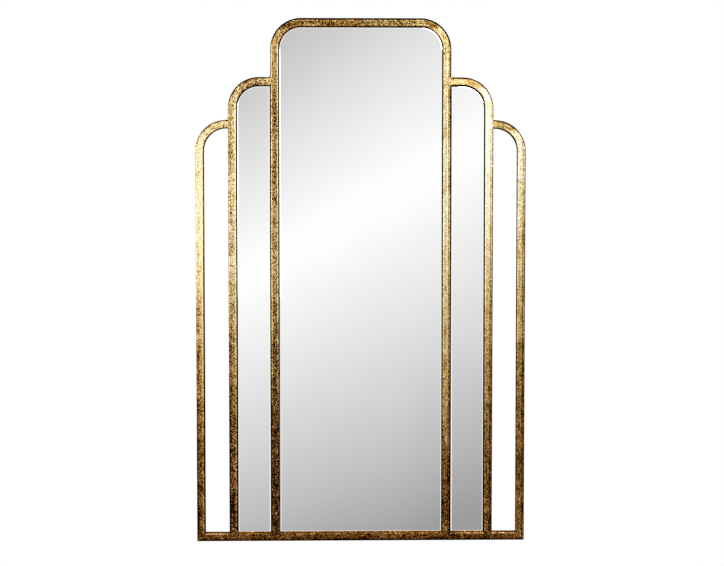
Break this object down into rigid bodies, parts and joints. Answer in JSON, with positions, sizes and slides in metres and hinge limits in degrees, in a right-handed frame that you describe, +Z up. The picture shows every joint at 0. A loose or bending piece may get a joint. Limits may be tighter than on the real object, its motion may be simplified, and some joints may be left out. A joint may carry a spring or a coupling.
{
  "type": "art deco mirror",
  "caption": "Stepped art deco wall mirror: three panes in a gilded square-tube frame with rounded hoops, open outer gaps, backing boards and D ring hangers.",
  "frame": {"origin": "on the wall plane, midway between the two points where wall hooks carry the D rings", "axes": "+Z up, -Y out of the mirror's face, +Y into the wall, +X to the viewer's right"},
  "size_m": [0.598, 0.0203, 0.95],
  "materials": {
    "gilded_tube": "antique gold leaf with dark glaze, rubbed brighter on the edges",
    "gilded_weld": "ground weld under the same antique gold leaf",
    "gilded_tab": "duller gold over steel, at the back of the frame",
    "mirror_glass": "silvered float glass with a narrow bevel",
    "foam_tape": "dark closed-cell foam",
    "backing_board": "raw medium density fibreboard",
    "zinc_screw": "bright zinc plate",
    "zinc_hanger": "satin zinc plate",
    "rubber": "matt black rubber"
  },
  "bodies": {
    "frame": {"centre_arch": "gilded_tube", "left_inner_hoop": "gilded_tube", "right_inner_hoop": "gilded_tube", "left_outer_hoop": "gilded_tube", "right_outer_hoop": "gilded_tube", "bottom_rail": "gilded_tube", "joint_welds": "gilded_weld", "mitre_welds": "gilded_weld", "left_arch_tabs": "gilded_tab", "right_arch_tabs": "gilded_tab", "left_hoop_tabs": "gilded_tab", "right_hoop_tabs": "gilded_tab", "top_tabs": "gilded_tab", "rail_tabs": "gilded_tab", "tab_welds": "gilded_weld", "centre_mirror": "mirror_glass", "left_mirror": "mirror_glass", "right_mirror": "mirror_glass", "centre_foam_tape": "foam_tape", "left_foam_tape": "foam_tape", "right_foam_tape": "foam_tape", "centre_backing_board": "backing_board", "left_backing_board": "backing_board", "right_backing_board": "backing_board", "centre_board_screws": "zinc_screw", "left_board_screws": "zinc_screw", "right_board_screws": "zinc_screw", "left_hanger_strap": "zinc_hanger", "right_hanger_strap": "zinc_hanger", "left_hanger_screw": "zinc_screw", "right_hanger_screw": "zinc_screw", "lower_left_bumper": "rubber", "lower_right_bumper": "rubber", "upper_left_bumper": "rubber", "upper_right_bumper": "rubber"},
    "left_d_ring": {"left_d_ring": "zinc_hanger"},
    "right_d_ring": {"right_d_ring": "zinc_hanger"}
  },
  "joints": [
    {"name": "left_ring_swing", "type": "hinge", "parent": "frame", "child": "left_d_ring", "pos_m": [-0.156, -0.0026, -0.0089], "axis": [1, 0, 0], "range_deg": [0, 176]},
    {"name": "right_ring_swing", "type": "hinge", "parent": "frame", "child": "right_d_ring", "pos_m": [0.156, -0.0026, -0.0089], "axis": [1, 0, 0], "range_deg": [0, 176]}
  ]
}
